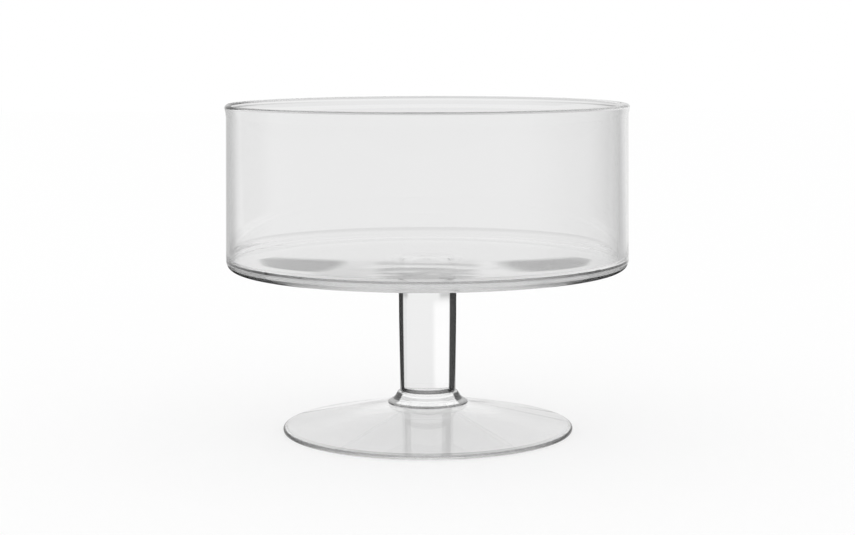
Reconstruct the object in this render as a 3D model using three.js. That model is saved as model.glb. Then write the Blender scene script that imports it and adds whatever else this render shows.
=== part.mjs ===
// Footed salad bowl in clear glass: a straight-sided bowl on a solid stem, a flared collar and a cone foot.
// Millimetres, +Z up. The origin is on the table, at the centre of the foot.
import * as THREE from 'three';

// Bowl: a blown cylinder with a heavy flat floor, a rounded heel and a fire-polished lip that flares a little
const BOWL_DIAMETER = 220;
const BOWL_HEIGHT = 89.5;
const BOWL_WALL = 3.5;
const BOWL_FLOOR = 6;
const HEEL_RADIUS = 4;
const FLOOR_FILLET = 6;
const LIP_FLARE = 1;
const LIP_HEIGHT = 6;

// Stem: a solid drawn rod, a little thinner at its lower end, which flares where it runs into the bowl
const STEM_LENGTH = 68.6;
const STEM_TOP_DIAMETER = 40;
const STEM_NECK_DIAMETER = 31.6;
const STEM_BOTTOM_DIAMETER = 30.6;
const STEM_FLARE_LENGTH = 26;

// Collar: a wafer of glass with a shoulder below the stem, which flares to a thin upright lip on the foot
const COLLAR_HEIGHT = 6.6;
const COLLAR_DIAMETER = 44;
const COLLAR_LIP = 0.6;
const COLLAR_WAIST_DIAMETER = 36.2;
const COLLAR_WAIST_HEIGHT = 2.5;
const COLLAR_SHOULDER_DIAMETER = 33.2;
const COLLAR_SHOULDER = 0.6;

// Foot: a shallow cone with a round edge, hollow underneath, which stands on a flat ring
const FOOT_DIAMETER = 160;
const FOOT_HEIGHT = 15.3;
const FOOT_EDGE = 2.2;
const FOOT_PLATE = 4.4;
const FOOT_RING = 2;

// Facets round the axis, and steps along each curved stretch of a profile
const TURN_FACETS = 72;
const CURVE_STEPS = 4;

const CLEAR_GLASS = {
  color: 0xeef2f1,
  roughness: 0.04,
  metalness: 0,
  transparent: true,
  opacity: 0.35,
};

// A piece turned about the Z axis from a closed profile of radius and height, standing at baseHeight
function turnedGlass(name, profile, baseHeight) {
  const geometry = new THREE.LatheGeometry(profile.getPoints(CURVE_STEPS), TURN_FACETS);
  geometry.rotateX(Math.PI / 2);
  const piece = new THREE.Mesh(geometry, new THREE.MeshStandardMaterial(CLEAR_GLASS));
  piece.name = name;
  piece.position.z = baseHeight;
  return piece;
}

// The foot: resting ring, full round edge, straight cone up to the collar's seat, hollow cone below
function footProfile() {
  const edgeRadius = FOOT_EDGE / 2;
  const edgeCentre = FOOT_DIAMETER / 2 - edgeRadius;
  const seatRadius = COLLAR_DIAMETER / 2;
  const hollowHeight = FOOT_HEIGHT - FOOT_PLATE;
  const profile = new THREE.Path();
  profile.moveTo(0, hollowHeight);
  profile.lineTo(seatRadius, hollowHeight);
  profile.lineTo(edgeCentre - FOOT_RING, 0);
  profile.lineTo(edgeCentre, 0);
  profile.absarc(edgeCentre, edgeRadius, edgeRadius, -Math.PI / 2, Math.PI / 2, false);
  profile.lineTo(seatRadius, FOOT_HEIGHT);
  profile.lineTo(0, FOOT_HEIGHT);
  return profile;
}

// The collar: an upright lip on the foot, a hollow flare up to the shoulder, then in to the stem's lower end
function collarProfile() {
  const lipRadius = COLLAR_DIAMETER / 2;
  const waistRadius = COLLAR_WAIST_DIAMETER / 2;
  const shoulderRadius = COLLAR_SHOULDER_DIAMETER / 2;
  const shoulderHeight = COLLAR_HEIGHT - COLLAR_SHOULDER;
  const profile = new THREE.Path();
  profile.moveTo(0, 0);
  profile.lineTo(lipRadius, 0);
  profile.lineTo(lipRadius, COLLAR_LIP);
  profile.quadraticCurveTo(waistRadius, COLLAR_WAIST_HEIGHT, shoulderRadius, shoulderHeight);
  profile.lineTo(STEM_BOTTOM_DIAMETER / 2, COLLAR_HEIGHT);
  profile.lineTo(0, COLLAR_HEIGHT);
  return profile;
}

// The stem: a rod that widens evenly from the collar to its neck, then flares to its seat under the bowl
function stemProfile() {
  const neckRadius = STEM_NECK_DIAMETER / 2;
  const neckHeight = STEM_LENGTH - STEM_FLARE_LENGTH;
  const flareMiddle = STEM_LENGTH - STEM_FLARE_LENGTH / 2;
  const profile = new THREE.Path();
  profile.moveTo(0, 0);
  profile.lineTo(STEM_BOTTOM_DIAMETER / 2, 0);
  profile.lineTo(neckRadius, neckHeight);
  profile.quadraticCurveTo(neckRadius, flareMiddle, STEM_TOP_DIAMETER / 2, STEM_LENGTH);
  profile.lineTo(0, STEM_LENGTH);
  return profile;
}

// The bowl: flat underside, heel, wall, flared lip with a full round rim, then the inside down to the floor
function bowlProfile() {
  const outside = BOWL_DIAMETER / 2;
  const inside = outside - BOWL_WALL;
  const rimRadius = BOWL_WALL / 2;
  const rimCentre = BOWL_HEIGHT - rimRadius;
  const lipStart = BOWL_HEIGHT - LIP_HEIGHT;
  const filletCentre = BOWL_FLOOR + FLOOR_FILLET;
  const profile = new THREE.Path();
  profile.moveTo(0, 0);
  profile.lineTo(outside - HEEL_RADIUS, 0);
  profile.absarc(outside - HEEL_RADIUS, HEEL_RADIUS, HEEL_RADIUS, -Math.PI / 2, 0, false);
  profile.lineTo(outside - LIP_FLARE, lipStart);
  profile.lineTo(outside, rimCentre);
  profile.absarc(outside - rimRadius, rimCentre, rimRadius, 0, Math.PI, false);
  profile.lineTo(inside - LIP_FLARE, lipStart);
  profile.lineTo(inside, filletCentre);
  profile.absarc(inside - FLOOR_FILLET, filletCentre, FLOOR_FILLET, 0, -Math.PI / 2, true);
  profile.lineTo(0, BOWL_FLOOR);
  return profile;
}

// Each piece stands on the flat seat of the one below
const collarSeat = FOOT_HEIGHT;
const stemSeat = collarSeat + COLLAR_HEIGHT;
const bowlSeat = stemSeat + STEM_LENGTH;

const footedBowl = new THREE.Group();
footedBowl.name = 'footed_salad_bowl';
footedBowl.add(turnedGlass('foot', footProfile(), 0));
footedBowl.add(turnedGlass('collar', collarProfile(), collarSeat));
footedBowl.add(turnedGlass('stem', stemProfile(), stemSeat));
footedBowl.add(turnedGlass('bowl', bowlProfile(), bowlSeat));

export default footedBowl;
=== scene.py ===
"""Footed salad bowl in clear glass: bowl, stem, collar and foot, turned from profiles and fused.

Metres, +Z up, origin on the table at the centre of the foot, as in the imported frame.
"""
import math

import bpy
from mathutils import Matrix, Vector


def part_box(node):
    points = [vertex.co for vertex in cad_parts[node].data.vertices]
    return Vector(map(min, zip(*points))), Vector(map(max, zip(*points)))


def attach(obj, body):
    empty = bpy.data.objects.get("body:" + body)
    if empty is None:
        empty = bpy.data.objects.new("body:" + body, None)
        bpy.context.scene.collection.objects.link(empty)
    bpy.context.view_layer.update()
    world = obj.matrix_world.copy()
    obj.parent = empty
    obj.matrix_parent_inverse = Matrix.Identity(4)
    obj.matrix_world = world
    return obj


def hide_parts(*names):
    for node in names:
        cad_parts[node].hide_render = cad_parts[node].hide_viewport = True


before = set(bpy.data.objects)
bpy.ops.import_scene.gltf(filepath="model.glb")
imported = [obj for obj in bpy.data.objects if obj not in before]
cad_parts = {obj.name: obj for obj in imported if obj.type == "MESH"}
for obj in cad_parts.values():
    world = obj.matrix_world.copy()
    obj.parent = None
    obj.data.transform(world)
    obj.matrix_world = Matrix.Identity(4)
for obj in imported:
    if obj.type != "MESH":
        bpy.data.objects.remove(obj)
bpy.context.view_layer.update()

MM = 0.001

# Bowl: wall, floor, heel and flared lip, and how far the inside leans to one side
BOWL_WALL = 3.5 * MM
BOWL_FLOOR = 6.0 * MM
HEEL_RADIUS = 5.0 * MM
LIP_FLARE = 1.0 * MM
LIP_HEIGHT = 6.0 * MM
LIP_BEND = 12.0 * MM
WALL_LEAN = 1.3 * MM

# Inner corner of the floor: round at the back, tight at the front, where the glass follows within the reach.
# The change is the sine of the bearing, behind and in front, between which one turns into the other, and the
# margin is how far past the corner a point still counts as inside.
FLOOR_FILLET = 6.0 * MM
FRONT_FILLET = 1.4 * MM
FRONT_REACH = 30.0 * MM
FRONT_CHANGE = 0.55
CORNER_MARGIN = 0.3 * MM

# Ripple of the floor: height, spacing sideways and in depth, and the ranges over which it dies away
FLOOR_RIPPLE = 0.16 * MM
RIPPLE_SPACING = (50.0 * MM, 15.0 * MM)
RIPPLE_ASIDE = (20.0 * MM, 42.0 * MM)
RIPPLE_FRONT = (-45.0 * MM, -20.0 * MM)
RIPPLE_RADIUS = (90.0 * MM, 102.0 * MM)

# Stem: a rod a little thinner at its lower end, whose flare grows with a power of the height
STEM_BOTTOM_RADIUS = 15.3 * MM
STEM_NECK_RADIUS = 15.8 * MM
STEM_FLARE = 26.0 * MM
FLARE_POWER = 5

# Collar: lip on the foot, hollow waist, shoulder below the stem
COLLAR_LIP = 0.6 * MM
COLLAR_WAIST_RADIUS = 18.4 * MM
COLLAR_WAIST = 2.8 * MM
COLLAR_WAIST_ROUND = 4.0 * MM
COLLAR_SHOULDER_RADIUS = 16.6 * MM
COLLAR_SHOULDER = 0.6 * MM
COLLAR_SHOULDER_ROUND = 0.6 * MM

# Foot: edge, plate, resting ring, and the hollow below, which reaches in under the collar
FOOT_EDGE = 2.2 * MM
FOOT_PLATE = 4.4 * MM
FOOT_RING = 2.0 * MM
FOOT_RING_ROUND = 2.0 * MM
HOLLOW_REACH = 5.0 * MM
HOLLOW_ROUND = 8.0 * MM

# Fineness of the turned surfaces, the gap up to which a seam is closed, and the angle of a sharp edge.
# A face is fused where the mean mark of its corners is above the last value, so where all of them are marked.
FACETS = 224
CORNER_STEPS = 20
FLARE_STEPS = 24
STEP_LENGTH = 1.5 * MM
SEAM_GAP = 0.002 * MM
SHARP_ANGLE = math.radians(35)
ALL_FUSED = 0.999

# The photograph's camera
CAMERA_PLACE = (0.0, -1.0446, 0.222)
CAMERA_PITCH = math.radians(7.2)
CAMERA_ROLL = math.radians(-0.15)
CAMERA_LENS = 80.7
SENSOR_WIDTH = 36.0

# Light that the glass keeps: through its body, and at each reflection, where the thin foot keeps less
GLASS_BODY = "#FCFCFC"
KEPT_LIGHT = "#FAFAFA"
FOOT_KEPT_LIGHT = "#ABABAB"

# Where the wall turns thick at right and the glass is painted greyer there as shade, the lean from which a
# surface counts as upright, and the heights below the bowl between which the stem's painted dark sides end
THICK_SHADED_SIDE = (50.0 * MM, 105.0 * MM)
UPRIGHT_LEAN = 0.8
SIDES_END = (77.0 * MM, 80.0 * MM)

# The room as the glass shows it: a pale grey backdrop up to 10 degrees, and a brighter ceiling from 20.
# The dome is the even light that the table gets.
BACKDROP = 0.82
CEILING = ((10.0, BACKDROP), (20.0, 1.0))
DOME_STRENGTH = 1.05

# Dark sides of the backdrop, seen only in the glass: bearings where they rise and fade, their base and top,
# where they begin on the table, their turn at left and right there, and their depth
SIDE_RISE = (16.0, 23.0)
SIDE_FADE = (42.0, 62.0)
SIDE_BASE = (0.0, 2.0)
SIDE_TOP = (15.0, 20.0)
SIDE_NEAR = (0.5, 0.7)
SIDE_SKEW = (-3.0, 11.0)
SIDE_DEPTH = 0.35
SIDE_TABLE_DEPTH = 0.42

# Four dim shapes high on the backdrop, which the flat floor of the bowl mirrors. Each is a half ellipse:
# sideways slope of its outer and inner end as seen from the bowl, slope of its base, rise, tilt and depth.
# Their edges are soft, in shares of the ellipse, and only directions towards the backdrop count.
SHAPES = (
    (-0.115, -0.034, 0.1215, 0.009, 0.0012, 0.74),
    (0.186, 0.054, 0.1222, 0.009, 0.0012, 0.74),
    (-0.026, 0.050, 0.1250, 0.04, 0.0, 0.6),
    (-0.066, -0.012, 0.1234, 0.03, 0.0, 0.24),
)
SHAPE_EDGE = (0.45, 1.1)
SHAPE_BASE_EDGE = 0.12
LEAST_AHEAD = 0.01

# The table top, and how much of its white is its own glow, as on a lit table
TABLE_HALF = 4.0
TABLE_LEVEL = -0.2 * MM
TABLE_GLOW = 0.65

# The table close behind the stem: dark where the stem's outside mirrors it, bright at left inside the stem
MIRROR_NEAR = (0.12, 0.6)
MIRROR_ASIDE = 0.09
BRIGHT_LEFT = (4.0, 12.0)
BRIGHT_NEAR = 0.12
BRIGHT_REACH = (0.45, 0.6)
BRIGHT_STRENGTH = 1.05

# The table through the bowl's floor, after more surfaces than two: even, with a dim ring that shows in the
# rounded corner at the back, and how much of the ring's depth is left inside it
THROUGH_SURFACES = 2.5
THROUGH_STRENGTH = 0.87
CORNER_RING = (0.3, 0.42, 0.58, 0.68)
CORNER_DEPTH = 0.14
CORNER_INNER = 0.35

# Bounces that light needs to find its way through the walls of glass
BOUNCES = 64

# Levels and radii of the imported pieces
bowl_low, bowl_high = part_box("bowl")
stem_low, stem_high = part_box("stem")
collar_low, collar_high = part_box("collar")
foot_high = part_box("foot")[1]
bowl_radius = bowl_high.x
stem_top_radius = stem_high.x
collar_radius = collar_high.x
foot_radius = foot_high.x
under_level = bowl_low.z
floor_level = bowl_low.z + BOWL_FLOOR
rim_level = bowl_high.z

# Radii that bound the dark rings below
WALL_INSIDE = 100.0 * MM
HEEL_START = 106.2 * MM
WALL_MIDDLE = 108.5 * MM
PAST_BOWL = 120.0 * MM
EDGE_START = 77.8 * MM
PAST_FOOT = 90.0 * MM
PAST_STEM = 30.0 * MM

# Dark rings of painted shade tinted into the glass, where it bends tightly or is seen edge on: lowest and
# highest level, least and greatest radius, darkness in front, and what is added to that where the glass turns
# away sideways
BOWL_RINGS = (
    # Outer half of the rim
    (rim_level - 0.7 * MM, rim_level + 0.1 * MM, bowl_radius - BOWL_WALL / 2, PAST_BOWL, 0.76, -0.15),
    # Whole round of the rim
    (rim_level - 1.3 * MM, rim_level + 0.1 * MM, WALL_INSIDE, PAST_BOWL, 0.38, 0.0),
    # Line below the rim on the inside, at left and right
    (rim_level - 2.9 * MM, rim_level - 2.2 * MM, WALL_INSIDE, WALL_MIDDLE, -0.1, 1.2),
    # Wall, at left and right
    (floor_level + 0.3 * MM, rim_level - 2.1 * MM, WALL_INSIDE, PAST_BOWL, -0.5, 0.75),
    # Whole heel
    (under_level - 0.1 * MM, floor_level + 0.3 * MM, HEEL_START, PAST_BOWL, 0.52, 0.0),
    # Line at the floor's level
    (floor_level - 1.0 * MM, floor_level + 0.3 * MM, WALL_MIDDLE, PAST_BOWL, 0.8, 0.5),
    # Softer line above it, in front
    (floor_level + 0.3 * MM, floor_level + 1.9 * MM, WALL_MIDDLE, PAST_BOWL, 0.4, -0.8),
    # Lower half of the heel, darkest at left and right
    (under_level - 0.1 * MM, under_level + 2.7 * MM, HEEL_START, PAST_BOWL, 0.5, 1.5),
)
FOOT_RINGS = (
    # Lower part of the edge
    (0.5 * MM, 1.6 * MM, EDGE_START, PAST_FOOT, 0.45, 1.0),
    # Upper part of the edge
    (1.6 * MM, 2.4 * MM, EDGE_START, PAST_FOOT, 0.72, 0.4),
    # Cone just inside the edge, in front
    (2.2 * MM, 3.0 * MM, 74.5 * MM, 79.2 * MM, 0.5, -0.5),
)
STEM_RINGS = (
    # Line above the collar
    (stem_low.z + 0.2 * MM, stem_low.z + 2.4 * MM, 10.0 * MM, PAST_STEM, 0.88, 0.3),
)
COLLAR_RINGS = (
    # Lip on the foot
    (collar_low.z, collar_low.z + 1.2 * MM, 18.0 * MM, PAST_STEM, 0.88, 0.0),
)


def linear(colour):
    """An sRGB hex colour as linear red, green, blue and alpha."""
    channels = [int(colour[i:i + 2], 16) / 255 for i in (1, 3, 5)]
    return [c / 12.92 if c <= 0.04045 else ((c + 0.055) / 1.055) ** 2.4 for c in channels] + [1.0]


def add(tree, kind, inputs=None, **settings):
    """Adds a node with its settings, and gives each named input a value or a link from a socket."""
    node = tree.nodes.new(kind)
    for name, value in settings.items():
        setattr(node, name, value)
    for name, value in (inputs or {}).items():
        if isinstance(value, bpy.types.NodeSocket):
            tree.links.new(value, node.inputs[name])
        else:
            node.inputs[name].default_value = value
    return node


def new_material(name):
    """An empty material and its node tree."""
    material = bpy.data.materials.new(name)
    material.use_nodes = True
    material.node_tree.nodes.clear()
    return material, material.node_tree


def clear_glass(name, dark_colour, thick_shade_colour, rings, edge=None, skew=0.0, kept_light=KEPT_LIGHT):
    """Colourless soda-lime glass, formed hot and fire polished: smooth, clear in front, with painted shade in
    its dark rings.

    An edge is the range of facing over which painted shade also turns the glass dark where it is seen edge
    on, and a skew makes that edge wider at right. The thick shade colour is the painted shade that the glass
    turns to at right.
    """
    material, tree = new_material(name)
    spot = add(tree, "ShaderNodeTexCoord").outputs["Object"]
    place = add(tree, "ShaderNodeSeparateXYZ", {0: spot}).outputs
    flat_place = add(tree, "ShaderNodeCombineXYZ", {"X": place["X"], "Y": place["Y"]})
    radius = add(tree, "ShaderNodeVectorMath", {
        0: flat_place.outputs[0],
    }, operation="LENGTH").outputs["Value"]

    # How far the glass turns away, taken round the axis alone
    geometry = add(tree, "ShaderNodeNewGeometry").outputs
    lean = add(tree, "ShaderNodeSeparateXYZ", {0: geometry["Normal"]}).outputs
    flat_lean = add(tree, "ShaderNodeCombineXYZ", {"X": lean["X"], "Y": lean["Y"]})
    sideways = add(tree, "ShaderNodeVectorMath", {0: flat_lean.outputs[0]}, operation="NORMALIZE")
    facing = add(tree, "ShaderNodeLayerWeight", {
        "Blend": 0.5,
        "Normal": sideways.outputs["Vector"],
    }).outputs["Facing"]
    going_in = add(tree, "ShaderNodeMath", {0: 1.0, 1: geometry["Backfacing"]}, operation="SUBTRACT")

    # Painted shade on the dark sides of an upright surface, below the bowl
    shares = []
    if edge:
        skewed = add(tree, "ShaderNodeMath", {
            0: lean["X"],
            1: skew,
            2: facing,
        }, operation="MULTIPLY_ADD")
        turned_away = add(tree, "ShaderNodeMapRange", {
            "Value": skewed.outputs[0],
            "From Min": edge[0],
            "From Max": edge[1],
        }, interpolation_type="SMOOTHSTEP")
        level = add(tree, "ShaderNodeMath", {0: lean["Z"]}, operation="ABSOLUTE")
        upright = add(tree, "ShaderNodeMapRange", {
            "Value": level.outputs[0],
            "From Min": 1.0,
            "From Max": UPRIGHT_LEAN,
        })
        below = add(tree, "ShaderNodeMapRange", {
            "Value": place["Z"],
            "From Min": SIDES_END[1],
            "From Max": SIDES_END[0],
        }, interpolation_type="SMOOTHSTEP")
        standing = add(tree, "ShaderNodeMath", {
            0: upright.outputs["Result"],
            1: below.outputs["Result"],
        }, operation="MULTIPLY")
        shares.append(add(tree, "ShaderNodeMath", {
            0: turned_away.outputs["Result"],
            1: standing.outputs[0],
        }, operation="MULTIPLY").outputs[0])

    # Dark rings of painted shade, which count once, where a ray goes into the glass
    for low, high, least, most, front, gain in rings:
        between = add(tree, "ShaderNodeMath", {
            0: place["Z"],
            1: (low + high) / 2,
            2: (high - low) / 2,
        }, operation="COMPARE")
        round_axis = add(tree, "ShaderNodeMath", {
            0: radius,
            1: (least + most) / 2,
            2: (most - least) / 2,
        }, operation="COMPARE")
        ring = add(tree, "ShaderNodeMath", {
            0: between.outputs[0],
            1: round_axis.outputs[0],
        }, operation="MULTIPLY")
        shown = add(tree, "ShaderNodeMath", {
            0: ring.outputs[0],
            1: going_in.outputs[0],
        }, operation="MULTIPLY")
        depth = add(tree, "ShaderNodeMath", {
            0: facing,
            1: gain,
            2: front,
        }, operation="MULTIPLY_ADD", use_clamp=True)
        shares.append(add(tree, "ShaderNodeMath", {
            0: shown.outputs[0],
            1: depth.outputs[0],
        }, operation="MULTIPLY").outputs[0])
    dark = shares[0]
    for share in shares[1:]:
        dark = add(tree, "ShaderNodeMath", {0: dark, 1: share}, operation="MAXIMUM").outputs[0]

    # The body of the glass, painted greyer as shade at right where the wall is thicker, and the painted dark
    # parts over it
    thick_shade = add(tree, "ShaderNodeMapRange", {
        "Value": place["X"],
        "From Min": THICK_SHADED_SIDE[0],
        "From Max": THICK_SHADED_SIDE[1],
    }, interpolation_type="SMOOTHSTEP")
    body = add(tree, "ShaderNodeMix", {
        "Factor": thick_shade.outputs["Result"],
        "A": linear(GLASS_BODY),
        "B": linear(thick_shade_colour),
    }, data_type="RGBA")
    tint = add(tree, "ShaderNodeMix", {
        "Factor": dark,
        "A": body.outputs["Result"],
        "B": linear(dark_colour),
    }, data_type="RGBA")
    glass = add(tree, "ShaderNodeBsdfPrincipled", {
        "Base Color": tint.outputs["Result"],
        "Roughness": 0.0,
        "IOR": 1.5,
        "Transmission Weight": 1.0,
        "Specular Tint": linear(kept_light),
    })
    add(tree, "ShaderNodeOutputMaterial", {"Surface": glass.outputs["BSDF"]})
    return material


def fused_seat():
    """Where two gathers of glass have run together there is no surface for light to meet."""
    material, tree = new_material("fused seat")
    glass = add(tree, "ShaderNodeBsdfPrincipled", {
        "Base Color": linear("#FFFFFF"),
        "Roughness": 0.0,
        "Alpha": 0.0,
    })
    add(tree, "ShaderNodeOutputMaterial", {"Surface": glass.outputs["BSDF"]})
    return material


def tightened(tree, inward, upward, share):
    """The two distances from the floor's corner, with its round shrunk and the rest spread to follow."""
    stretch = (FRONT_REACH - FRONT_FILLET) / (FRONT_REACH - FLOOR_FILLET)
    distance = add(tree, "ShaderNodeMath", {0: inward, 1: upward}, operation="MAXIMUM").outputs[0]
    near = add(tree, "ShaderNodeMath", {0: distance, 1: FRONT_FILLET / FLOOR_FILLET}, operation="MULTIPLY")
    far = add(tree, "ShaderNodeMath", {
        0: distance,
        1: stretch,
        2: FRONT_FILLET - FLOOR_FILLET * stretch,
    }, operation="MULTIPLY_ADD")
    bent = add(tree, "ShaderNodeMath", {0: near.outputs[0], 1: far.outputs[0]}, operation="MAXIMUM")
    tight = add(tree, "ShaderNodeMath", {0: distance, 1: bent.outputs[0]}, operation="MINIMUM")
    ratio = add(tree, "ShaderNodeMath", {0: tight.outputs[0], 1: distance}, operation="DIVIDE")
    scale = add(tree, "ShaderNodeMix", {
        "Factor": share,
        "A": 1.0,
        "B": ratio.outputs[0],
    }, data_type="FLOAT").outputs["Result"]
    return [add(tree, "ShaderNodeMath", {0: way, 1: scale}, operation="MULTIPLY").outputs[0]
            for way in (inward, upward)]


def turned_glass_tree():
    """Geometry nodes that round a profile's corners and turn it about the Z axis."""
    tree = bpy.data.node_groups.new("turned glass", "GeometryNodeTree")
    for name, kind in (
        ("Profile", "NodeSocketGeometry"),
        ("Facets", "NodeSocketInt"),
        ("Corner Steps", "NodeSocketInt"),
        ("Step Length", "NodeSocketFloat"),
        ("Wall Radius", "NodeSocketFloat"),
        ("Wall", "NodeSocketFloat"),
        ("Floor Level", "NodeSocketFloat"),
        ("Wall Lean", "NodeSocketFloat"),
        ("Ripple", "NodeSocketFloat"),
        ("Corner Radius", "NodeSocketFloat"),
        ("Corner Height", "NodeSocketFloat"),
        ("Tight Front", "NodeSocketFloat"),
        ("Glass", "NodeSocketMaterial"),
        ("Fused Seat", "NodeSocketMaterial"),
    ):
        tree.interface.new_socket(name, in_out="INPUT", socket_type=kind)
    tree.interface.new_socket("Piece", in_out="OUTPUT", socket_type="NodeSocketGeometry")
    given = add(tree, "NodeGroupInput").outputs

    # The profile: straight stretches between rounded corners, cut into short steps
    corner_radius = add(tree, "GeometryNodeInputNamedAttribute", {"Name": "corner_radius"})
    chain = add(tree, "GeometryNodeMeshToCurve", {"Mesh": given["Profile"]})
    rounded = add(tree, "GeometryNodeFilletCurve", {
        "Curve": chain.outputs["Curve"],
        "Count": given["Corner Steps"],
        "Radius": corner_radius.outputs["Attribute"],
        "Limit Radius": True,
    }, mode="POLY")
    here = add(tree, "GeometryNodeInputPosition").outputs["Position"]
    index = add(tree, "GeometryNodeInputIndex").outputs["Index"]
    after = add(tree, "ShaderNodeMath", {0: index, 1: 1.0}, operation="ADD")
    there = add(tree, "GeometryNodeFieldAtIndex", {
        "Value": here,
        "Index": after.outputs[0],
    }, data_type="FLOAT_VECTOR", domain="POINT")
    span = add(tree, "ShaderNodeVectorMath", {0: here, 1: there.outputs["Value"]}, operation="DISTANCE")
    cuts = add(tree, "ShaderNodeMath", {
        0: span.outputs["Value"],
        1: given["Step Length"],
    }, operation="DIVIDE")
    profile = add(tree, "GeometryNodeSubdivideCurve", {
        "Curve": rounded.outputs["Curve"],
        "Cuts": cuts.outputs[0],
    }).outputs["Curve"]

    # A grid with one column for each profile point and one row for each facet, turned about Z
    count = add(tree, "GeometryNodeAttributeDomainSize", {"Geometry": profile}, component="CURVE")
    rows = add(tree, "ShaderNodeMath", {0: given["Facets"], 1: 1.0}, operation="ADD")
    sheet = add(tree, "GeometryNodeMeshGrid", {
        "Size X": 1.0,
        "Size Y": 1.0,
        "Vertices X": rows.outputs[0],
        "Vertices Y": count.outputs["Point Count"],
    })
    place = add(tree, "ShaderNodeSeparateXYZ", {0: here})
    turn = add(tree, "ShaderNodeMath", {0: place.outputs["X"], 1: math.tau}, operation="MULTIPLY")
    last = add(tree, "ShaderNodeMath", {0: count.outputs["Point Count"], 1: 1.0}, operation="SUBTRACT")
    along = add(tree, "ShaderNodeMath", {0: place.outputs["Y"], 1: 0.5}, operation="ADD")
    step = add(tree, "ShaderNodeMath", {0: along.outputs[0], 1: last.outputs[0]}, operation="MULTIPLY")
    which = add(tree, "ShaderNodeMath", {0: step.outputs[0]}, operation="ROUND")
    spot = add(tree, "GeometryNodeSampleIndex", {
        "Geometry": profile,
        "Value": here,
        "Index": which.outputs[0],
    }, data_type="FLOAT_VECTOR", domain="POINT")
    fused_mark = add(tree, "GeometryNodeInputNamedAttribute", {"Name": "fused"})
    fused = add(tree, "GeometryNodeSampleIndex", {
        "Geometry": profile,
        "Value": fused_mark.outputs["Attribute"],
        "Index": which.outputs[0],
    }, data_type="FLOAT", domain="POINT")
    point = add(tree, "ShaderNodeSeparateXYZ", {0: spot.outputs["Value"]})
    cosine = add(tree, "ShaderNodeMath", {0: turn.outputs[0]}, operation="COSINE")
    sine = add(tree, "ShaderNodeMath", {0: turn.outputs[0]}, operation="SINE")

    # The inner corner of the floor is tighter at the front: its round shrinks and the rest spreads to follow
    front = add(tree, "ShaderNodeMapRange", {
        "Value": sine.outputs[0],
        "From Min": FRONT_CHANGE,
        "From Max": -FRONT_CHANGE,
        "To Max": given["Tight Front"],
    }, interpolation_type="SMOOTHSTEP")
    inward = add(tree, "ShaderNodeMath", {
        0: given["Corner Radius"],
        1: point.outputs["X"],
    }, operation="SUBTRACT").outputs[0]
    upward = add(tree, "ShaderNodeMath", {
        0: point.outputs["Z"],
        1: given["Corner Height"],
    }, operation="SUBTRACT").outputs[0]
    nearest = add(tree, "ShaderNodeMath", {0: inward, 1: upward}, operation="MINIMUM")
    on_inside = add(tree, "ShaderNodeMath", {
        0: nearest.outputs[0],
        1: -CORNER_MARGIN,
    }, operation="GREATER_THAN")
    tight = add(tree, "ShaderNodeMath", {
        0: front.outputs["Result"],
        1: on_inside.outputs[0],
    }, operation="MULTIPLY")
    inset, raised = tightened(tree, inward, upward, tight.outputs[0])
    radius = add(tree, "ShaderNodeMath", {
        0: given["Corner Radius"],
        1: inset,
    }, operation="SUBTRACT").outputs[0]
    height = add(tree, "ShaderNodeMath", {
        0: given["Corner Height"],
        1: raised,
    }, operation="ADD").outputs[0]
    east = add(tree, "ShaderNodeMath", {0: radius, 1: cosine.outputs[0]}, operation="MULTIPLY")
    north = add(tree, "ShaderNodeMath", {0: radius, 1: sine.outputs[0]}, operation="MULTIPLY")

    # The inside leans to one side, so the wall is thin on the left and thick on the right
    depth = add(tree, "ShaderNodeMath", {0: given["Wall Radius"], 1: radius}, operation="SUBTRACT")
    through_wall = add(tree, "ShaderNodeMath", {
        0: depth.outputs[0],
        1: given["Wall"],
    }, operation="DIVIDE", use_clamp=True)
    above = add(tree, "ShaderNodeMath", {0: height, 1: given["Floor Level"]}, operation="GREATER_THAN")
    inside = add(tree, "ShaderNodeMath", {
        0: through_wall.outputs[0],
        1: above.outputs[0],
    }, operation="MULTIPLY")
    lean = add(tree, "ShaderNodeMath", {0: inside.outputs[0], 1: given["Wall Lean"]}, operation="MULTIPLY")
    leaned = add(tree, "ShaderNodeMath", {0: east.outputs[0], 1: lean.outputs[0]}, operation="SUBTRACT")

    # The floor is a little wavy in front of its middle
    crests = [add(tree, "ShaderNodeMath", {0: way.outputs[0], 1: spacing}, operation="DIVIDE")
              for way, spacing in zip((east, north), RIPPLE_SPACING)]
    spread = add(tree, "ShaderNodeCombineXYZ", {"X": crests[0].outputs[0], "Y": crests[1].outputs[0]})
    waves = add(tree, "ShaderNodeTexNoise", {"Vector": spread.outputs["Vector"], "Scale": 1.0, "Detail": 0.0})
    swell = add(tree, "ShaderNodeMath", {0: waves.outputs["Fac"], 1: 0.5}, operation="SUBTRACT")
    aside = add(tree, "ShaderNodeMath", {0: east.outputs[0]}, operation="ABSOLUTE")
    strip = add(tree, "ShaderNodeMapRange", {
        "Value": aside.outputs[0],
        "From Min": RIPPLE_ASIDE[1],
        "From Max": RIPPLE_ASIDE[0],
    }, interpolation_type="SMOOTHSTEP")
    in_front = add(tree, "ShaderNodeMapRange", {
        "Value": north.outputs[0],
        "From Min": RIPPLE_FRONT[1],
        "From Max": RIPPLE_FRONT[0],
    }, interpolation_type="SMOOTHSTEP")
    flat_part = add(tree, "ShaderNodeMapRange", {
        "Value": radius,
        "From Min": RIPPLE_RADIUS[1],
        "From Max": RIPPLE_RADIUS[0],
    }, interpolation_type="SMOOTHSTEP")
    patch = add(tree, "ShaderNodeMath", {
        0: in_front.outputs["Result"],
        1: strip.outputs["Result"],
    }, operation="MULTIPLY")
    within = add(tree, "ShaderNodeMath", {
        0: patch.outputs[0],
        1: flat_part.outputs["Result"],
    }, operation="MULTIPLY")
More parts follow.
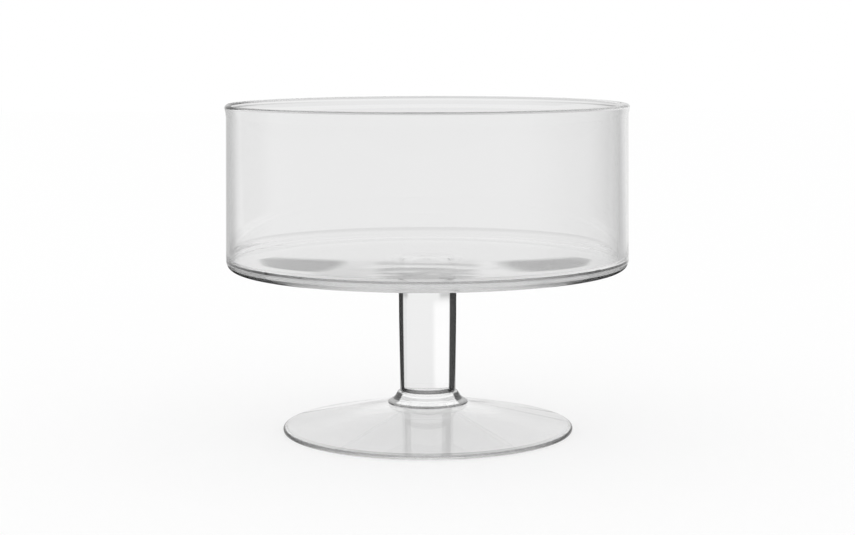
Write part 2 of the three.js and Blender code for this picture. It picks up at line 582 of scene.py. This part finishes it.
    reach = add(tree, "ShaderNodeMath", {0: within.outputs[0], 1: above.outputs[0]}, operation="MULTIPLY")
    amount = add(tree, "ShaderNodeMath", {0: reach.outputs[0], 1: given["Ripple"]}, operation="MULTIPLY")
    rippled = add(tree, "ShaderNodeMath", {
        0: swell.outputs[0],
        1: amount.outputs[0],
        2: height,
    }, operation="MULTIPLY_ADD")

    # The grid takes its turned place, and its seam and poles close
    turned_place = add(tree, "ShaderNodeCombineXYZ", {
        "X": leaned.outputs[0],
        "Y": north.outputs[0],
        "Z": rippled.outputs[0],
    })
    marked = add(tree, "GeometryNodeStoreNamedAttribute", {
        "Geometry": sheet.outputs["Mesh"],
        "Name": "fused",
        "Value": fused.outputs["Value"],
    }, data_type="FLOAT", domain="POINT")
    turned = add(tree, "GeometryNodeSetPosition", {
        "Geometry": marked.outputs["Geometry"],
        "Position": turned_place.outputs["Vector"],
    })
    closed = add(tree, "GeometryNodeMergeByDistance", {
        "Geometry": turned.outputs["Geometry"],
        "Distance": SEAM_GAP,
    })

    # Smooth all over but for the sharp rims of the seats
    smooth = add(tree, "GeometryNodeSetShadeSmooth", {"Geometry": closed.outputs["Geometry"]}, domain="FACE")
    angle = add(tree, "GeometryNodeInputMeshEdgeAngle").outputs["Unsigned Angle"]
    sharp = add(tree, "ShaderNodeMath", {0: angle, 1: SHARP_ANGLE}, operation="GREATER_THAN")
    creased = add(tree, "GeometryNodeSetShadeSmooth", {
        "Geometry": smooth.outputs["Geometry"],
        "Selection": sharp.outputs[0],
        "Shade Smooth": False,
    }, domain="EDGE")
    whole = add(tree, "GeometryNodeRealizeInstances", {"Geometry": creased.outputs["Geometry"]})
    glass = add(tree, "GeometryNodeSetMaterial", {
        "Geometry": whole.outputs["Geometry"],
        "Material": given["Glass"],
    })
    mark = add(tree, "GeometryNodeInputNamedAttribute", {"Name": "fused"})
    seat = add(tree, "ShaderNodeMath", {0: mark.outputs["Attribute"], 1: ALL_FUSED}, operation="GREATER_THAN")
    seated = add(tree, "GeometryNodeSetMaterial", {
        "Geometry": glass.outputs["Geometry"],
        "Selection": seat.outputs[0],
        "Material": given["Fused Seat"],
    })
    add(tree, "NodeGroupOutput", {"Piece": seated.outputs["Geometry"]})
    return tree


def turned_piece(name, corners, glass, **shaping):
    """A piece turned from its profile's corners, each a radius, a height, a rounding and a fused mark.

    The shaping moves the inside of the bowl. The other pieces have none of it.
    """
    mesh = bpy.data.meshes.new(name)
    mesh.from_pydata(
        [(radius, 0.0, height) for radius, height, _, _ in corners],
        [(i, i + 1) for i in range(len(corners) - 1)],
        [],
    )
    for label, column in (("corner_radius", 2), ("fused", 3)):
        values = mesh.attributes.new(label, "FLOAT", "POINT")
        values.data.foreach_set("value", [float(corner[column]) for corner in corners])
    piece = bpy.data.objects.new(name, mesh)
    bpy.context.scene.collection.objects.link(piece)
    modifier = piece.modifiers.new("turned glass", "NODES")
    modifier.node_group = TURNED_GLASS
    sizes = {
        "Facets": FACETS,
        "Corner Steps": CORNER_STEPS,
        "Step Length": STEP_LENGTH,
        "Wall Radius": 1.0,
        "Wall": 1.0,
        "Floor Level": 1.0,
        "Wall Lean": 0.0,
        "Ripple": 0.0,
        "Corner Radius": 0.0,
        "Corner Height": 0.0,
        "Tight Front": 0.0,
        "Glass": glass,
        "Fused Seat": FUSED,
        **shaping,
    }
    for item in TURNED_GLASS.interface.items_tree:
        if item.in_out == "INPUT" and item.name in sizes:
            modifier[item.identifier] = sizes[item.name]
    evaluated = piece.evaluated_get(bpy.context.evaluated_depsgraph_get())
    piece.data = bpy.data.meshes.new_from_object(evaluated)
    piece.modifiers.clear()
    return piece


def set_in_frame(piece, node):
    """The piece stands for its CAD node and rides on the one body."""
    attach(piece, "root")
    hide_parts(node)


def make_bowl():
    """Flat underside with the stem's seat, heel, wall, full round rim, inside and floor."""
    inside = bowl_radius - BOWL_WALL
    lip_level = rim_level - LIP_HEIGHT
    corners = [
        (0.0, under_level, 0.0, 1),
        (stem_top_radius, under_level, 0.0, 1),
        (bowl_radius, under_level, HEEL_RADIUS, 0),
        (bowl_radius - LIP_FLARE, lip_level, LIP_BEND, 0),
        (bowl_radius, rim_level, BOWL_WALL / 2, 0),
        (inside, rim_level, BOWL_WALL / 2, 0),
        (inside - LIP_FLARE, lip_level, LIP_BEND, 0),
        (inside, floor_level, FLOOR_FILLET, 0),
        (0.0, floor_level, 0.0, 0),
    ]
    bowl = turned_piece("bowl_glass", corners, BLOWN, **{
        "Wall Radius": bowl_radius - LIP_FLARE,
        "Wall": BOWL_WALL - LIP_FLARE,
        "Floor Level": floor_level - BOWL_FLOOR / 4,
        "Wall Lean": WALL_LEAN,
        "Ripple": FLOOR_RIPPLE,
        "Corner Radius": inside,
        "Corner Height": floor_level,
        "Tight Front": 1.0,
    })
    set_in_frame(bowl, "bowl")


def make_stem():
    """A solid rod between two seats, which flares where it runs into the bowl."""
    neck = stem_high.z - STEM_FLARE
    widening = stem_top_radius - STEM_NECK_RADIUS
    rises = [step / FLARE_STEPS for step in range(FLARE_STEPS)]
    corners = [
        (0.0, stem_low.z, 0.0, 1),
        (STEM_BOTTOM_RADIUS, stem_low.z, 0.0, 1),
        *[(STEM_NECK_RADIUS + widening * rise ** FLARE_POWER, neck + STEM_FLARE * rise, 0.0, 0)
          for rise in rises],
        (stem_top_radius, stem_high.z, 0.0, 1),
        (0.0, stem_high.z, 0.0, 1),
    ]
    stem = turned_piece("stem_glass", corners, DRAWN)
    set_in_frame(stem, "stem")


def make_collar():
    """A wafer that flares from the stem to its lip on the foot."""
    waist = collar_low.z + COLLAR_WAIST
    shoulder = collar_high.z - COLLAR_SHOULDER
    corners = [
        (0.0, collar_low.z, 0.0, 1),
        (collar_radius, collar_low.z, 0.0, 1),
        (collar_radius, collar_low.z + COLLAR_LIP, COLLAR_LIP / 2, 0),
        (COLLAR_WAIST_RADIUS, waist, COLLAR_WAIST_ROUND, 0),
        (COLLAR_SHOULDER_RADIUS, shoulder, COLLAR_SHOULDER_ROUND, 0),
        (STEM_BOTTOM_RADIUS, collar_high.z, 0.0, 1),
        (0.0, collar_high.z, 0.0, 1),
    ]
    collar = turned_piece("collar_glass", corners, WAFER)
    set_in_frame(collar, "collar")


def make_foot():
    """A cone plate with a round edge, hollow below, with the collar's seat on top."""
    hollow = foot_high.z - FOOT_PLATE
    ring = foot_radius - FOOT_EDGE / 2 - FOOT_RING
    apex = hollow + HOLLOW_REACH * hollow / (ring - collar_radius)
    corners = [
        (0.0, apex, 0.0, 0),
        (collar_radius - HOLLOW_REACH, apex, HOLLOW_ROUND, 0),
        (ring, 0.0, FOOT_RING_ROUND, 0),
        (foot_radius, 0.0, FOOT_EDGE / 2, 0),
        (foot_radius, FOOT_EDGE, FOOT_EDGE / 2, 0),
        (collar_radius, foot_high.z, 0.0, 1),
        (0.0, foot_high.z, 0.0, 1),
    ]
    foot = turned_piece("foot_glass", corners, FOOT_GLASS)
    set_in_frame(foot, "foot")


def side_share(tree, east, north, skew, depth):
    """How far a place or direction lies in a dark side of the backdrop, behind the bowl at left and right."""
    wide = add(tree, "ShaderNodeMath", {0: east}, operation="ABSOLUTE")
    exact = add(tree, "ShaderNodeMath", {0: wide.outputs[0], 1: north}, operation="ARCTAN2")
    right = add(tree, "ShaderNodeMath", {0: east, 1: 0.0}, operation="GREATER_THAN")
    later = add(tree, "ShaderNodeMath", {
        0: right.outputs[0],
        1: math.radians(skew[1] - skew[0]),
        2: math.radians(skew[0]),
    }, operation="MULTIPLY_ADD")
    bearing = add(tree, "ShaderNodeMath", {
        0: exact.outputs[0],
        1: later.outputs[0],
    }, operation="SUBTRACT").outputs[0]
    rise = add(tree, "ShaderNodeMapRange", {
        "Value": bearing,
        "From Min": math.radians(SIDE_RISE[0]),
        "From Max": math.radians(SIDE_RISE[1]),
        "To Max": depth,
    }, interpolation_type="SMOOTHSTEP")
    fade = add(tree, "ShaderNodeMapRange", {
        "Value": bearing,
        "From Min": math.radians(SIDE_FADE[1]),
        "From Max": math.radians(SIDE_FADE[0]),
    }, interpolation_type="SMOOTHSTEP")
    return add(tree, "ShaderNodeMath", {
        0: rise.outputs["Result"],
        1: fade.outputs["Result"],
    }, operation="MULTIPLY").outputs[0]


def shape_share(tree, way, outer, inner, base, rise, tilt, depth):
    """How far a direction lies in a half ellipse that stands on a tilted base."""
    ahead = add(tree, "ShaderNodeMath", {0: way["Y"], 1: LEAST_AHEAD}, operation="MAXIMUM").outputs[0]
    aside = add(tree, "ShaderNodeMath", {0: way["X"], 1: ahead}, operation="DIVIDE").outputs[0]
    slope = add(tree, "ShaderNodeMath", {0: way["Z"], 1: ahead}, operation="DIVIDE").outputs[0]
    along = add(tree, "ShaderNodeMapRange", {
        "Value": aside,
        "From Min": outer,
        "From Max": inner,
        "To Min": -1.0,
        "To Max": 1.0,
    }, clamp=False).outputs["Result"]
    line = add(tree, "ShaderNodeMath", {0: along, 1: tilt, 2: base}, operation="MULTIPLY_ADD").outputs[0]
    above = add(tree, "ShaderNodeMath", {0: slope, 1: line}, operation="SUBTRACT").outputs[0]
    high = add(tree, "ShaderNodeMath", {0: above, 1: rise}, operation="DIVIDE").outputs[0]
    high_square = add(tree, "ShaderNodeMath", {0: high, 1: high}, operation="MULTIPLY").outputs[0]
    from_middle = add(tree, "ShaderNodeMath", {
        0: along,
        1: along,
        2: high_square,
    }, operation="MULTIPLY_ADD").outputs[0]
    inside = add(tree, "ShaderNodeMapRange", {
        "Value": from_middle,
        "From Min": SHAPE_EDGE[1],
        "From Max": SHAPE_EDGE[0],
        "To Max": depth,
    }, interpolation_type="SMOOTHSTEP").outputs["Result"]
    over = add(tree, "ShaderNodeMapRange", {
        "Value": high,
        "From Min": -SHAPE_BASE_EDGE,
        "From Max": SHAPE_BASE_EDGE,
    }, interpolation_type="SMOOTHSTEP").outputs["Result"]
    return add(tree, "ShaderNodeMath", {0: inside, 1: over}, operation="MULTIPLY").outputs[0]


def white_table():
    """Matt white table top: white to the camera, pale grey with dark and bright parts in the glass."""
    material, tree = new_material("matt white table")
    matt = add(tree, "ShaderNodeBsdfPrincipled", {
        "Base Color": linear("#FAFAFA"),
        "Roughness": 0.9,
        "Specular IOR Level": 0.0,
    })
    path = add(tree, "ShaderNodeLightPath").outputs
    straight = add(tree, "ShaderNodeMath", {
        0: path["Is Camera Ray"],
        1: path["Is Glossy Ray"],
    }, operation="MAXIMUM")
    seen = add(tree, "ShaderNodeMath", {
        0: straight.outputs[0],
        1: path["Is Transmission Ray"],
    }, operation="MAXIMUM")
    spot = add(tree, "ShaderNodeTexCoord").outputs["Object"]
    place = add(tree, "ShaderNodeSeparateXYZ", {0: spot}).outputs
    away = add(tree, "ShaderNodeVectorMath", {0: spot}, operation="LENGTH").outputs["Value"]

    # The dark sides of the backdrop go on across the table
    near = add(tree, "ShaderNodeMapRange", {
        "Value": away,
        "From Min": SIDE_NEAR[0],
        "From Max": SIDE_NEAR[1],
    }, interpolation_type="SMOOTHSTEP")
    dark = add(tree, "ShaderNodeMath", {
        0: side_share(tree, place["X"], place["Y"], SIDE_SKEW, SIDE_TABLE_DEPTH),
        1: near.outputs["Result"],
    }, operation="MULTIPLY")

    # Dark where the stem's outside mirrors it, behind the bowl at left and right
    through = add(tree, "ShaderNodeMath", {
        0: path["Transmission Depth"],
        1: THROUGH_SURFACES,
    }, operation="GREATER_THAN").outputs[0]
    close = add(tree, "ShaderNodeMath", {
        0: away,
        1: sum(MIRROR_NEAR) / 2,
        2: (MIRROR_NEAR[1] - MIRROR_NEAR[0]) / 2,
    }, operation="COMPARE")
    abreast = add(tree, "ShaderNodeMath", {0: place["X"]}, operation="ABSOLUTE")
    aside = add(tree, "ShaderNodeMath", {0: abreast.outputs[0], 1: MIRROR_ASIDE}, operation="GREATER_THAN")
    behind = add(tree, "ShaderNodeMath", {0: place["Y"], 1: 0.0}, operation="GREATER_THAN")
    open_behind = add(tree, "ShaderNodeMath", {
        0: behind.outputs[0],
        1: aside.outputs[0],
    }, operation="MULTIPLY")
    direct = add(tree, "ShaderNodeMath", {
        0: open_behind.outputs[0],
        1: through,
    }, operation="SUBTRACT", use_clamp=True)
    mirrored = add(tree, "ShaderNodeMath", {0: close.outputs[0], 1: direct.outputs[0]}, operation="MULTIPLY")
    mirror_only = add(tree, "ShaderNodeMath", {
        0: path["Is Glossy Ray"],
        1: path["Is Transmission Ray"],
    }, operation="SUBTRACT", use_clamp=True)
    glossy = add(tree, "ShaderNodeMath", {
        0: mirrored.outputs[0],
        1: mirror_only.outputs[0],
    }, operation="MULTIPLY")
    shade = add(tree, "ShaderNodeMath", {0: dark.outputs[0], 1: glossy.outputs[0]}, operation="MAXIMUM")

    # How much of what is seen is glow: all of it where the table is dark or seen through the bowl's floor
    even = add(tree, "ShaderNodeMath", {0: shade.outputs[0], 1: through}, operation="MAXIMUM")
    own = add(tree, "ShaderNodeMapRange", {
        "Value": even.outputs[0],
        "To Min": TABLE_GLOW,
        "To Max": 1.0,
    })
    glowing = add(tree, "ShaderNodeMath", {
        0: seen.outputs[0],
        1: own.outputs["Result"],
    }, operation="MULTIPLY")

    # Bright at left, where the stem shows it
    leftward = add(tree, "ShaderNodeMath", {0: place["X"], 1: -1.0}, operation="MULTIPLY")
    turn = add(tree, "ShaderNodeMath", {0: leftward.outputs[0], 1: place["Y"]}, operation="ARCTAN2")
    left = add(tree, "ShaderNodeMapRange", {
        "Value": turn.outputs[0],
        "From Min": math.radians(BRIGHT_LEFT[0]),
        "From Max": math.radians(BRIGHT_LEFT[1]),
    }, interpolation_type="SMOOTHSTEP")
    short = add(tree, "ShaderNodeMapRange", {
        "Value": away,
        "From Min": BRIGHT_REACH[1],
        "From Max": BRIGHT_REACH[0],
    }, interpolation_type="SMOOTHSTEP")
    beyond = add(tree, "ShaderNodeMath", {0: away, 1: BRIGHT_NEAR}, operation="GREATER_THAN")
    bare = add(tree, "ShaderNodeMath", {
        0: beyond.outputs[0],
        1: through,
    }, operation="SUBTRACT", use_clamp=True)
    reach = add(tree, "ShaderNodeMath", {
        0: short.outputs["Result"],
        1: bare.outputs[0],
    }, operation="MULTIPLY")
    lit = add(tree, "ShaderNodeMath", {
        0: left.outputs["Result"],
        1: reach.outputs[0],
    }, operation="MULTIPLY")

    # The dim ring that shows in the rounded corner of the bowl's floor
    inner = add(tree, "ShaderNodeMapRange", {
        "Value": away,
        "From Min": CORNER_RING[0],
        "From Max": CORNER_RING[1],
        "To Min": CORNER_INNER,
    }, interpolation_type="SMOOTHSTEP")
    outer = add(tree, "ShaderNodeMapRange", {
        "Value": away,
        "From Min": CORNER_RING[3],
        "From Max": CORNER_RING[2],
    }, interpolation_type="SMOOTHSTEP")
    ring = add(tree, "ShaderNodeMath", {
        0: inner.outputs["Result"],
        1: outer.outputs["Result"],
    }, operation="MULTIPLY")
    ringed = add(tree, "ShaderNodeMix", {
        "Factor": ring.outputs[0],
        "A": THROUGH_STRENGTH,
        "B": THROUGH_STRENGTH * (1.0 - CORNER_DEPTH),
    }, data_type="FLOAT")

    # Strength of the glow for the glass and for the camera
    bared = add(tree, "ShaderNodeMix", {
        "Factor": lit.outputs[0],
        "A": BACKDROP,
        "B": BRIGHT_STRENGTH,
    }, data_type="FLOAT")
    pale = add(tree, "ShaderNodeMix", {
        "Factor": through,
        "A": bared.outputs["Result"],
        "B": ringed.outputs["Result"],
    }, data_type="FLOAT")
    dim = add(tree, "ShaderNodeMix", {
        "Factor": shade.outputs[0],
        "A": pale.outputs["Result"],
        "B": 0.0,
    }, data_type="FLOAT")
    strength = add(tree, "ShaderNodeMix", {
        "Factor": path["Is Camera Ray"],
        "A": dim.outputs["Result"],
        "B": 1.0,
    }, data_type="FLOAT")
    glow = add(tree, "ShaderNodeEmission", {
        "Color": linear("#FFFFFF"),
        "Strength": strength.outputs["Result"],
    })
    surface = add(tree, "ShaderNodeMixShader", {
        "Fac": glowing.outputs[0],
        1: matt.outputs["BSDF"],
        2: glow.outputs["Emission"],
    })
    add(tree, "ShaderNodeOutputMaterial", {"Surface": surface.outputs["Shader"]})
    return material


def make_table():
    """A plain pale table top, just below the foot."""
    mesh = bpy.data.meshes.new("table_top")
    mesh.from_pydata([
        (-TABLE_HALF, -TABLE_HALF, TABLE_LEVEL),
        (TABLE_HALF, -TABLE_HALF, TABLE_LEVEL),
        (TABLE_HALF, TABLE_HALF, TABLE_LEVEL),
        (-TABLE_HALF, TABLE_HALF, TABLE_LEVEL),
    ], [], [(0, 1, 2, 3)])
    mesh.materials.append(white_table())
    table = bpy.data.objects.new("table_top", mesh)
    bpy.context.scene.collection.objects.link(table)


def make_world():
    """White for the camera, a soft dome for the table, a grey room with dark parts for the glass."""
    world = bpy.data.worlds.new("white room")
    bpy.context.scene.world = world
    world.use_nodes = True
    tree = world.node_tree
    tree.nodes.clear()
    path = add(tree, "ShaderNodeLightPath").outputs
    direction = add(tree, "ShaderNodeTexCoord").outputs["Generated"]
    way = add(tree, "ShaderNodeSeparateXYZ", {0: direction}).outputs

    # The backdrop and the ceiling
    ceiling = add(tree, "ShaderNodeValToRGB", {"Fac": way["Z"]})
    stops = ceiling.color_ramp.elements
    stops.remove(stops[1])
    for degrees, value in CEILING:
        stops.new(math.sin(math.radians(degrees))).color = (value, value, value, 1.0)
    stops.remove(stops[0])

    # Its dark sides and dim shapes
    base = add(tree, "ShaderNodeMapRange", {
        "Value": way["Z"],
        "From Min": math.sin(math.radians(SIDE_BASE[0])),
        "From Max": math.sin(math.radians(SIDE_BASE[1])),
    }, interpolation_type="SMOOTHSTEP")
    top = add(tree, "ShaderNodeMapRange", {
        "Value": way["Z"],
        "From Min": math.sin(math.radians(SIDE_TOP[1])),
        "From Max": math.sin(math.radians(SIDE_TOP[0])),
    }, interpolation_type="SMOOTHSTEP")
    tall = add(tree, "ShaderNodeMath", {
        0: base.outputs["Result"],
        1: top.outputs["Result"],
    }, operation="MULTIPLY")
    side = side_share(tree, way["X"], way["Y"], (0.0, 0.0), SIDE_DEPTH)
    dark = add(tree, "ShaderNodeMath", {0: side, 1: tall.outputs[0]}, operation="MULTIPLY").outputs[0]
    for shape in SHAPES:
        dim = shape_share(tree, way, *shape)
        dark = add(tree, "ShaderNodeMath", {0: dark, 1: dim}, operation="MAXIMUM").outputs[0]
    bright = add(tree, "ShaderNodeMath", {0: 1.0, 1: dark}, operation="SUBTRACT")
    room = add(tree, "ShaderNodeMath", {
        0: ceiling.outputs["Color"],
        1: bright.outputs[0],
    }, operation="MULTIPLY")

    # The glass sees the room, the table is lit by the dome, and the camera sees white
    off_table = add(tree, "ShaderNodeMath", {0: path["Diffuse Depth"], 1: 0.5}, operation="GREATER_THAN")
    in_glass = add(tree, "ShaderNodeMix", {
        "Factor": off_table.outputs[0],
        "A": room.outputs[0],
        "B": DOME_STRENGTH,
    }, data_type="FLOAT")
    strength = add(tree, "ShaderNodeMix", {
        "Factor": path["Is Camera Ray"],
        "A": in_glass.outputs["Result"],
        "B": 1.0,
    }, data_type="FLOAT")
    light = add(tree, "ShaderNodeBackground", {
        "Color": linear("#FFFFFF"),
        "Strength": strength.outputs["Result"],
    })
    add(tree, "ShaderNodeOutputWorld", {"Surface": light.outputs["Background"]})


def make_camera():
    """The photograph's viewing angle."""
    data = bpy.data.cameras.new("camera")
    data.sensor_width = SENSOR_WIDTH
    data.lens = CAMERA_LENS
    camera = bpy.data.objects.new("camera", data)
    camera.location = CAMERA_PLACE
    camera.rotation_mode = "XYZ"
    camera.rotation_euler = (math.pi / 2 - CAMERA_PITCH, 0.0, 0.0)
    camera.rotation_euler.rotate_axis("Z", CAMERA_ROLL)
    bpy.context.scene.collection.objects.link(camera)
    bpy.context.scene.camera = camera


TURNED_GLASS = turned_glass_tree()
FUSED = fused_seat()

# The bowl is blown, and painted a little greyer as shade at right, where its wall is thick. The foot is blown
# thin and mirrors little.
BLOWN = clear_glass("blown clear glass", "#1F1F1F", "#F6F6F6", BOWL_RINGS)
FOOT_GLASS = clear_glass("blown clear glass of the foot", "#1F1F1F", "#FFFFFF", FOOT_RINGS,
                         kept_light=FOOT_KEPT_LIGHT)

# The stem is a drawn rod and the collar a pressed wafer, both solid; their broad dark sides are painted shade
DRAWN = clear_glass("drawn clear glass", "#111111", "#FCFCFC", STEM_RINGS, edge=(0.39, 0.44), skew=0.07)
WAFER = clear_glass("pressed clear glass wafer", "#111111", "#FCFCFC", COLLAR_RINGS, edge=(0.42, 0.49))

make_camera()
make_bowl()
make_stem()
make_collar()
make_foot()
make_table()
make_world()

scene = bpy.context.scene
scene.view_settings.view_transform = "Standard"
scene.cycles.max_bounces = BOUNCES
scene.cycles.transmission_bounces = BOUNCES
scene.cycles.glossy_bounces = BOUNCES
scene.cycles.transparent_max_bounces = BOUNCES
